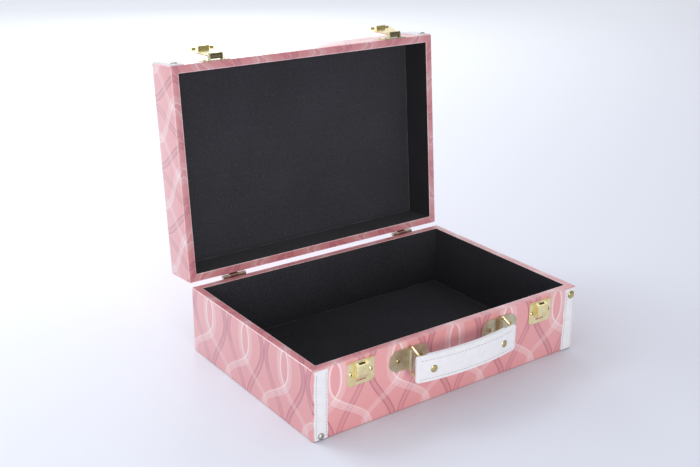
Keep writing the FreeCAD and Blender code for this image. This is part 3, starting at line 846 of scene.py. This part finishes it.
class Tree:
    """A node tree, with short calls for the nodes used here."""

    def __init__(self, tree):
        self.tree = tree
        self.coordinates = self.node("TexCoord").outputs

    def join(self, value, socket):
        """Links an output to a socket, or sets the socket to a plain value."""
        if isinstance(value, bpy.types.NodeSocket):
            self.tree.links.new(value, socket)
        else:
            socket.default_value = value

    def node(self, kind, **inputs):
        """New node with some inputs set or linked; _ stands for a space in an input's name."""
        made = self.tree.nodes.new("ShaderNode" + kind)
        for name, value in inputs.items():
            self.join(value, made.inputs[name.replace("_", " ")])
        return made

    def math(self, operation, *values):
        """Result of a sum on outputs and plain numbers."""
        made = self.node("Math")
        made.operation = operation
        for value, socket in zip(values, made.inputs):
            self.join(value, socket)
        return made.outputs[0]

    def split(self, vector):
        """The three parts of a vector."""
        return self.node("SeparateXYZ", Vector=vector).outputs

    def ramp(self, value, low, high, at_low=0.0, at_high=1.0):
        """Smooth change of a value from one level to another."""
        made = self.node("MapRange", Value=value, From_Min=low, From_Max=high, To_Min=at_low, To_Max=at_high)
        made.interpolation_type = "SMOOTHSTEP"
        return made.outputs[0]


class Finish(Tree):
    """One material's nodes and its shader."""

    def __init__(self, name, roughness=0.5, metallic=0.0):
        self.material = bpy.data.materials.new(name)
        self.material.use_nodes = True
        super().__init__(self.material.node_tree)
        self.place = self.coordinates["Object"]
        self.surface = self.tree.nodes["Principled BSDF"]
        self.set("Roughness", roughness)
        self.set("Metallic", metallic)

    def set(self, name, value):
        """Sets or links one of the shader's own sockets."""
        self.join(value, self.surface.inputs[name])

    def mix(self, share, first, second):
        """Colour between two colours."""
        made = self.node("Mix")
        made.data_type = "RGBA"
        self.join(share, made.inputs[0])
        self.join(first, made.inputs[6])
        self.join(second, made.inputs[7])
        return made.outputs[2]

    def paint(self, tone, over, where, cover):
        """Tone with a colour laid over it where a pattern is one, by a share of cover."""
        return self.mix(self.math("MULTIPLY", where, cover), tone, over)

    def between(self, share, first, second):
        """Value between two plain numbers."""
        return self.math("MULTIPLY_ADD", share, second - first, first)

    def sheet(self):
        """Place on the flat sheet, along and up, as marked on the mesh."""
        marks = self.node("Attribute")
        marks.attribute_name = SHEET_MARK
        along, up, _ = self.split(marks.outputs["Vector"])
        return along, up

    def noise(self, size, detail=2.0):
        """Cloudy pattern with features of a size."""
        return self.node("TexNoise", Scale=1 / size, Detail=detail, Vector=self.place).outputs["Fac"]

    def cells(self, size):
        """Distance to the nearest of scattered points, for leather grain."""
        return self.node("TexVoronoi", Scale=1 / size, Vector=self.place).outputs["Distance"]

    def bump(self, height, distance, strength, normal=None):
        """Normal tilted by a height pattern."""
        made = self.node("Bump", Strength=strength, Distance=distance, Height=height)
        if normal:
            self.join(normal, made.inputs["Normal"])
        return made.outputs[0]

    def soft_edges(self, radius):
        """Normal that rounds sharp edges over a radius."""
        made = self.node("Bevel", Radius=radius)
        made.samples = BEVEL_SAMPLES
        return made.outputs[0]

    def open_share(self, reach):
        """One on an open face, less in a crevice within a reach, from ambient occlusion; it sets where shade
        is painted.
        """
        made = self.node("AmbientOcclusion", Distance=reach)
        made.samples = PAINTED_SHADE_SAMPLES
        return self.ramp(made.outputs["AO"], low=0.15, high=0.6)

    def line(self, distance, half, soft):
        """One inside a half width of a line, zero outside, with a soft edge."""
        return self.ramp(self.math("ABSOLUTE", distance), half - soft, half + soft, 1.0, 0.0)


def colour(red, green, blue):
    """Colour with full cover."""
    return (red, green, blue, 1.0)


PINK = colour(0.72, 0.27, 0.29)
SALMON = colour(0.76, 0.31, 0.30)
MAUVE = colour(0.38, 0.04, 0.08)
MAUVE_FILL = colour(0.48, 0.13, 0.17)
PALE = colour(0.90, 0.76, 0.76)
WORN = colour(0.88, 0.72, 0.72)
PAPER_PAINTED_SHADE = colour(0.14, 0.02, 0.02)
# Velvet roots and tips, dark to pale; where between them is set by painted light and shade and by a cloudy
# nap
VELVET_ROOT_DARK = colour(0.007, 0.007, 0.009)
VELVET_ROOT_PALE = colour(0.042, 0.042, 0.050)
VELVET_TIP_DARK = colour(0.018, 0.018, 0.022)
VELVET_TIP_PALE = colour(0.080, 0.080, 0.094)
VELVET_RUBBED = colour(0.16, 0.16, 0.18)
LEATHER_SHADE = colour(0.76, 0.755, 0.79)
LEATHER_WHITE = colour(0.80, 0.795, 0.815)
THREAD_SHADE = colour(0.36, 0.37, 0.36)
THREAD_PALE = colour(0.60, 0.61, 0.60)
BOARD_DARK = colour(0.36, 0.25, 0.15)
BOARD_PALE = colour(0.55, 0.42, 0.28)
GOLD_BRIGHT = colour(0.98, 0.88, 0.52)
GOLD_WORN = colour(0.92, 0.79, 0.41)
KNUCKLE_PAINTED_SHADE = colour(0.20, 0.165, 0.085)
METAL_PAINTED_SHADE = colour(0.10, 0.04, 0.03)
FLOOR_PAINTED_SHADE = colour(0.675, 0.685, 0.765)
FLOOR_WHITE = colour(0.91, 0.93, 0.98)
SKY_TINT = colour(0.96, 0.97, 1.0)


def printed_tone(made, across, height):
    """Pink crossed by mauve and pale strands, at a place on the sheet in millimetres."""
    turn_per_mm = 2 * math.pi / REPEAT_HEIGHT
    angle = made.math("MULTIPLY", made.math("SUBTRACT", height, ALMOND_MIDDLE), turn_per_mm)
    swing = made.math("COSINE", angle)
    squared = made.math("MULTIPLY", swing, swing)
    lean = made.math("SINE", angle)
    half = REPEAT_WIDTH / 2

    # A strand swings by its reach and is straightened by a wave three times as quick:
    # 3, 4 and 12 come from the cosine of three times an angle and from its slope
    def upright(reach, straighten):
        """Share of a level width that is left square to a strand that leans."""
        steep = made.math("MULTIPLY_ADD", squared, -12 * straighten, reach + 3 * straighten)
        slope = made.math("MULTIPLY", made.math("MULTIPLY", lean, steep), turn_per_mm)
        return made.math("INVERSE_SQRT", made.math("MULTIPLY_ADD", slope, slope, 1.0))

    def strand(side, start, centre, reach, straighten=0.0):
        """Signed distance from one strand, square to it, growing away from its axis."""
        share = made.math("MULTIPLY_ADD", squared, -4 * straighten, reach + 3 * straighten)
        path = made.math("MULTIPLY_ADD", made.math("MULTIPLY", swing, share), side, start + side * centre)
        level = made.math("WRAP", made.math("SUBTRACT", across, path), half, -half)
        return made.math("MULTIPLY", made.math("MULTIPLY", level, upright(reach, straighten)), side)

    near_almond = made.ramp(swing, low=0.0, high=0.8)
    near_join = made.ramp(swing, low=0.55, high=0.95)
    tone = made.mix(made.noise(PINK_CLOUD), PINK, SALMON)
    for side in (LEFT, RIGHT):
        away = strand(side, half, STRAND_CENTRE, -MAUVE_REACH)
        cover = made.between(near_join, MAUVE_FILL_COVER[side], MAUVE_JOIN_COVER)
        tone = made.paint(tone, MAUVE_FILL, made.line(away, MAUVE_HALF, MAUVE_SOFT), cover)
        for offset in (-MAUVE_LINE_OUT, MAUVE_LINE_OUT):
            thin = made.line(made.math("SUBTRACT", away, offset), MAUVE_LINE_HALF, MAUVE_LINE_SOFT)
            tone = made.paint(tone, MAUVE, thin, MAUVE_LINE_COVER[side])
    for side in (RIGHT, LEFT):
        away = strand(side, 0, -STRAND_CENTRE, WHITE_REACH, WHITE_STRAIGHTEN)
        inside = made.math("SUBTRACT", away, WHITE_BAND / 2)
        cover = made.between(near_almond, WHITE_FILL_COVER[side], WHITE_ALMOND_FILL)
        tone = made.paint(tone, PALE, made.line(inside, WHITE_BAND / 2, WHITE_SOFT), cover)
        cover = made.between(near_almond, WHITE_LINE_COVER[side], WHITE_ALMOND_LINE)
        for offset in WHITE_LINES:
            thin = made.line(made.math("SUBTRACT", away, offset), WHITE_LINE_HALF, WHITE_LINE_SOFT)
            tone = made.paint(tone, PALE, thin, cover)
        cover = made.between(near_almond, WHITE_LINE_COVER[side], WHITE_ALMOND_EDGE)
        tone = made.paint(tone, PALE, made.line(away, WHITE_EDGE_HALF, WHITE_EDGE_SOFT), cover)
    return tone


def worn_and_shaded_rim(made, tone, hand, height, outer_edge, inner_edge):
    """Tone darkened on the rim as painted shade, and rubbed pale along its two edges, the outer one most on
    the left face.
    """
    over_rim = made.math("SUBTRACT", height, (outer_edge + inner_edge) / 2)
    on_rim = made.line(over_rim, abs(outer_edge - inner_edge) / 2, RIM_RUB)
    # Painted shade: the rim is darkened towards mauve
    tone = made.paint(tone, MAUVE_FILL, on_rim, RIM_PAINTED_SHADE)
    patchy = made.ramp(made.noise(RUB_PATCH, detail=4.0), low=0.3, high=0.6, at_low=0.4, at_high=1.0)
    outer_rub = made.ramp(hand, -1, 1, at_low=RIM_OUTER_RUB_LEFT_FACE, at_high=RIM_OUTER_RUB)
    for place, share in ((outer_edge, outer_rub), (inner_edge, RIM_INNER_RUB)):
        at_edge = made.line(made.math("SUBTRACT", height, place), RIM_RUB_HALF, RIM_RUB)
        tone = made.paint(tone, WORN, made.math("MULTIPLY", at_edge, patchy), share)
    return tone


def paper_material(name, shift, outer_edge, inner_edge):
    """Printed paper with a rim rubbed pale and darkened as painted shade, and painted shade near fittings;
    the print is turned about on the left face.
    """
    made = Finish(name)
    along, up = made.sheet()
    hand = made.math("SIGN", along)
    across = made.math("SUBTRACT", made.math("MULTIPLY", along, 1 / MM), ALMOND_FROM_LEFT + shift)
    height = made.math("MULTIPLY", up, 1 / MM)
    tone = printed_tone(made, made.math("MULTIPLY", across, hand), height)
    tone = worn_and_shaded_rim(made, tone, hand, height, outer_edge, inner_edge)
    gloss = made.noise(GLOSS_PATCH)
    tooth = made.noise(TOOTH, detail=4.0)
    # Painted shade: darker red near fittings and through the catch's slot, where ambient occlusion finds a
    # crevice
    made.set("Base Color", made.mix(made.open_share(PAPER_SHADE_REACH), PAPER_PAINTED_SHADE, tone))
    made.set("Roughness", made.ramp(gloss, low=0.3, high=0.7, at_low=0.38, at_high=0.48))
    made.set("Specular IOR Level", 1.0)
    made.set("Coat Weight", 1.0)
    made.set("Coat IOR", 1.75)
    made.set("Coat Roughness", 0.32)
    made.set("Normal", made.bump(tooth, TOOTH_DEEP, strength=0.35))
    return made.material


def plain_paper_material():
    """Plain pink paper under the base, with fibres."""
    made = Finish("plain_paper", roughness=0.7)
    fibre = made.noise(FIBRE, detail=6.0)
    made.set("Base Color", made.mix(fibre, PINK, SALMON))
    made.set("Normal", made.bump(fibre, FIBRE_DEEP, strength=0.4))
    return made.material


def panel_edge(finish, low, high):
    """One on the rubbed edge of a flat lining between two corners, zero inside."""
    along, up = finish.sheet()
    size = high - low
    shares = []
    for place, start, length in ((along, 0, size.x), (up, size.z, size.y)):
        from_middle = finish.math("ABSOLUTE", finish.math("SUBTRACT", place, start + length / 2))
        shares.append(finish.ramp(from_middle, length / 2 - EDGE_RUB, length / 2 - EDGE_RUB / 2))
    return finish.math("MAXIMUM", *shares)


def velvet_material(name, painted_light_left, painted_light_right, sheen, panel=None):
    """Short black pile with a cloudy nap, made paler or darker from left to right as painted light and shade,
    rubbed along the edge of a flat panel.
    """
    made = Finish(name, roughness=0.95)
    pile = made.noise(PILE, detail=3.0)
    across = made.split(made.place)[0]
    # Painted light and shade: the velvet is paler or darker from left to right
    painted_light_ramp = made.ramp(across, PAINTED_LIGHT_LEFT_AT, PAINTED_LIGHT_RIGHT_AT, painted_light_left, painted_light_right)
    nap_and_painted_light = made.math("MULTIPLY_ADD", made.noise(NAP_CLOUD, detail=3.0), NAP_CLOUD_SHARE, painted_light_ramp)
    roots = made.mix(nap_and_painted_light, VELVET_ROOT_DARK, VELVET_ROOT_PALE)
    tips = made.mix(nap_and_painted_light, VELVET_TIP_DARK, VELVET_TIP_PALE)
    tone = made.mix(made.ramp(pile, low=0.45, high=0.75), roots, tips)
    if panel:
        patch = made.noise(PANEL_RUB_PATCH, detail=3.0)
        patchy = made.ramp(patch, low=0.35, high=0.65, at_low=0.2, at_high=0.8)
        tone = made.paint(tone, VELVET_RUBBED, panel_edge(made, *panel), patchy)
    made.set("Base Color", tone)
    made.set("Specular IOR Level", 0.15)
    made.set("Sheen Weight", sheen)
    made.set("Sheen Roughness", 0.5)
    made.set("Normal", made.bump(pile, PILE_DEEP, strength=0.6))
    return made.material


def leather_material():
    """White leather with a fine grain and faint creases."""
    made = Finish("white_leather")
    grain = made.cells(GRAIN)
    crease = made.noise(CREASE, detail=4.0)
    made.set("Base Color", made.mix(made.ramp(crease, low=0.35, high=0.75), LEATHER_SHADE, LEATHER_WHITE))
    made.set("Roughness", made.ramp(grain, low=0.1, high=0.6, at_low=0.36, at_high=0.52))
    creased = made.bump(crease, CREASE_DEEP, strength=0.25)
    made.set("Normal", made.bump(grain, GRAIN_DEEP, strength=0.35, normal=creased))
    return made.material


def from_pin(finish, pin):
    """Distance from the line of a pin that lies across the box."""
    _, back, up = finish.split(finish.place)
    back = finish.math("SUBTRACT", back, pin.y)
    up = finish.math("SUBTRACT", up, pin.z)
    squares = [finish.math("MULTIPLY", distance, distance) for distance in (back, up)]
    return finish.math("SQRT", finish.math("ADD", *squares))


def metal_material(name, bright, worn, roughness, patch, pin=None):
    """Plated metal with soft edges, faint streaks and patches, with painted shade in crevices and in a rolled
    knuckle round a pin.
    """
    made = Finish(name, metallic=1.0)
    cloud = made.noise(patch, detail=3.0)
    plate = made.mix(made.ramp(cloud, low=0.35, high=0.7), bright, worn)
    # Painted shade: dark in the rolled knuckle round the pin
    if pin:
        plate = made.mix(made.ramp(from_pin(made, pin), KNUCKLE_SHADE_R, KNUCKLE_SHADE_END), KNUCKLE_PAINTED_SHADE, plate)
    streak = made.noise(STREAK, detail=3.0)
    spread = made.ramp(streak, low=0.3, high=0.8, at_low=roughness * 0.8, at_high=roughness * 1.35)
    # Painted shade: dark brown in crevices, where ambient occlusion finds them
    made.set("Base Color", made.mix(made.open_share(METAL_SHADE_REACH), METAL_PAINTED_SHADE, plate))
    made.set("Roughness", spread)
    made.set("Normal", made.bump(streak, STREAK_DEEP, strength=0.15, normal=made.soft_edges(METAL_EDGE)))
    return made.material


def thread_material():
    """Pale grey sewing thread with a twist."""
    made = Finish("thread", roughness=0.7)
    twist = made.noise(TWIST)
    made.set("Base Color", made.mix(twist, THREAD_SHADE, THREAD_PALE))
    made.set("Normal", made.bump(twist, TWIST_DEEP, strength=0.5))
    return made.material


def board_material():
    """Raw fibreboard under the paper."""
    made = Finish("fibreboard", roughness=0.85)
    chips = made.noise(CHIP, detail=5.0)
    made.set("Base Color", made.mix(chips, BOARD_DARK, BOARD_PALE))
    made.set("Normal", made.bump(chips, CHIP_DEEP, strength=0.5))
    return made.material


def plated(name, bright, worn, roughness, patch_mm):
    """Metal from plain red, green and blue shares and a size of patch in millimetres."""
    return metal_material(name, colour(*bright), colour(*worn), roughness, patch_mm * MM)


rim_width = (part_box("base_wall_lining")[0].x - base_low.x) / MM
base_rim = base_high.z / MM - RIM_RUB
lid_rim = node_box("lid_paper_wrap", SHUT_LID)[0].z / MM + RIM_RUB
paper = paper_material("printed_paper", 0, base_rim, base_rim + rim_width - RIM_RUB)
lid_paper_material = paper_material("printed_paper_lid", LID_SHIFT, lid_rim, lid_rim - rim_width + RIM_RUB)
plain_paper = plain_paper_material()
floor_panel = node_box("base_floor_lining", IN_PLACE)
lid_panel = node_box("lid_panel_lining", SHUT_LID)
# Four copies of the velvet, each paler or darker as painted light and shade for where it stands
wall_velvet_with_painted_light = velvet_material("wall_velvet", painted_light_left=0.6, painted_light_right=0.4, sheen=0.03)
floor_velvet_with_painted_light = velvet_material("floor_velvet", painted_light_left=0.1, painted_light_right=0.4, sheen=0.03, panel=floor_panel)
lid_wall_velvet_with_painted_light = velvet_material("lid_wall_velvet", painted_light_left=0.1, painted_light_right=0.05, sheen=0.12)
lid_velvet_with_painted_light = velvet_material("lid_velvet", painted_light_left=0.6, painted_light_right=0.6, sheen=0.12, panel=lid_panel)
leather = leather_material()
gold_look = {"bright": GOLD_BRIGHT, "worn": GOLD_WORN, "roughness": 0.22, "patch": 6 * MM}
gold = metal_material("gold_plate", **gold_look)
hasp_gold = metal_material("hasp_gold", **gold_look, pin=pivots["hasp_left_pivot"])
satin = plated("satin_brass", (0.68, 0.62, 0.43), (0.56, 0.51, 0.34), roughness=0.32, patch_mm=8)
# Aged gold, made darker also as painted reflection of dark surroundings on the domed heads
aged_gold_with_painted_shade = plated("aged_gold_with_painted_shade", (0.60, 0.50, 0.24), (0.48, 0.39, 0.18), roughness=0.26, patch_mm=3)
dull = plated("dull_metal", (0.60, 0.58, 0.55), (0.34, 0.32, 0.29), roughness=0.45, patch_mm=2)
# Hinge metal darkened as painted reflection of the dark velvet and pink paper round it; the lid's leaf darker
# still as painted shade
hinge_metal_painted_shade = plated("hinge_painted_shade", (0.62, 0.46, 0.36), (0.48, 0.33, 0.26), roughness=0.30, patch_mm=4)
hinge_leaf_painted_shade = plated("hinge_leaf_painted_shade", (0.36, 0.22, 0.18), (0.26, 0.15, 0.12), roughness=0.30, patch_mm=4)
thread = thread_material()
board = board_material()


# Pieces

def dress_nodes():
    """Gives every CAD node its material."""
    finishes = {
        "handle_plate": satin,
        "latch_plate": satin,
        "hasp": hasp_gold,
        "hinge_lid_leaf": hinge_leaf_painted_shade,
        "hinge": hinge_metal_painted_shade,
        "base_underside_sheet": plain_paper,
    }
    for name, made in nodes.items():
        other = board if name.endswith("board") else gold
        finish = next((look for start, look in finishes.items() if name.startswith(start)), other)
        made.data.materials.clear()
        made.data.materials.append(finish)


dress_nodes()
base_paper()
lid_paper()
wall_velvet("base_wall_velvet", "base", "base_wall_lining", IN_PLACE, True, wall_velvet_with_painted_light)
wall_velvet("lid_wall_velvet", "lid", "lid_wall_lining", OPEN_LID, False, lid_wall_velvet_with_painted_light)
flat_velvet("base_floor_velvet", "base", "base_floor_lining", IN_PLACE, floor_velvet_with_painted_light)
flat_velvet("lid_panel_velvet", "lid", "lid_panel_lining", OPEN_LID, lid_velvet_with_painted_light)
for i, end in enumerate(("left", "right")):
    corner_strip("base", "base_corner_strip_" + end, IN_PLACE, BASE_WAVE_PHASE + i)
    corner_strip("lid", "lid_corner_strip_" + end, OPEN_LID, LID_WAVE_PHASE + i)
    wire_loop(end)
strap()
strap_rivets()
strip_rivets("base_strip_rivets", "base", IN_PLACE, BASE_RIVET_R, aged_gold_with_painted_shade)
strip_rivets("lid_strip_rivets", "lid", OPEN_LID, LID_RIVET_R, dull)
crossed = screw_template()
screw_group(crossed, "catch_screws", "base", IN_PLACE, OUTWARD, gold)
screw_group(crossed, "handle_plate_screws", "base", IN_PLACE, OUTWARD, aged_gold_with_painted_shade)
screw_group(crossed, "hinge_base_screws", "base", IN_PLACE, -OUTWARD, aged_gold_with_painted_shade)
screw_group(crossed, "latch_screws", "lid", OPEN_LID, OUTWARD, gold)
screw_group(crossed, "hinge_lid_screws", "lid", OPEN_LID, -OUTWARD, aged_gold_with_painted_shade)


# Camera, floor and light

def camera():
    """Camera where the photograph was taken from."""
    lens = bpy.data.cameras.new("camera")
    lens.lens = CAMERA_LENS
    lens.sensor_fit = "HORIZONTAL"
    lens.sensor_width = CAMERA_SENSOR
    made = shown("camera", lens)
    view = (CAMERA_TARGET - CAMERA_PLACE).to_track_quat("-Z", "Y").to_matrix().to_4x4()
    roll = Matrix.Rotation(math.radians(CAMERA_ROLL_DEG), 4, "Z")
    made.matrix_world = Matrix.Translation(CAMERA_PLACE) @ view @ roll
    bpy.context.scene.camera = made


def floor():
    """Pale floor that keeps the box's shadow, its colour darkened towards the front right as painted shade.
    """
    shape = bmesh.new()
    bmesh.ops.create_grid(shape, x_segments=1, y_segments=1, size=FLOOR_HALF)
    mesh = mesh_of(shape, "floor")
    made = shown("floor", mesh)
    finish = Finish("floor", roughness=0.6)
    across, back, _ = finish.split(finish.place)
    # Painted shade: the floor's colour darkens towards the front right
    toward_back = finish.math("MULTIPLY_ADD", across, -FLOOR_LEAN, back)
    share = finish.ramp(toward_back, FLOOR_DARK_FROM, FLOOR_PALE_FROM)
    finish.set("Base Color", finish.mix(share, FLOOR_PAINTED_SHADE, FLOOR_WHITE))
    finish.set("Specular IOR Level", 0.1)
    mesh.materials.append(finish.material)


def lamp(name, place, target, size, power, tint):
    """Square soft light aimed at a point."""
    light = bpy.data.lights.new(name, "AREA")
    light.shape = "SQUARE"
    light.size = size
    light.energy = power
    light.color = tint
    made = shown(name, light)
    made.matrix_world = aimed(Vector(place), Vector(place) - Vector(target))


def lamps():
    """Soft boxes in front of the box and behind it, and a small one for glints on the metal."""
    base = (0, 0, 0.1)
    lid = (0, 0.1, 0.25)
    lamp("front_box", (-0.5, -1.8, 0.35), base, size=0.7, power=17, tint=(1.0, 0.99, 0.98))
    lamp("glint_box", (0.84, 1.85, 0.77), lid, size=0.45, power=4, tint=(1.0, 1.0, 1.0))
    lamp("back_box", (-0.8, 1.5, 1.5), base, size=1.2, power=20, tint=(0.86, 0.93, 1.0))


def world():
    """Studio that is bright behind and above the box and dim behind the camera."""
    made = bpy.data.worlds.new("studio")
    made.use_nodes = True
    sky = Tree(made.node_tree)
    _, back, up = sky.split(sky.coordinates["Generated"])
    height = sky.math("MULTIPLY_ADD", up, SKY_LEAN, back)
    level = sky.ramp(height, -SKY_FADE, SKY_FADE, SKY_DIM, SKY_BRIGHT)
    ground = sky.tree.nodes["Background"].inputs
    sky.join(SKY_TINT, ground["Color"])
    sky.join(level, ground["Strength"])
    bpy.context.scene.world = made


camera()
floor()
lamps()
world()
bpy.context.scene.view_settings.view_transform = "Standard"
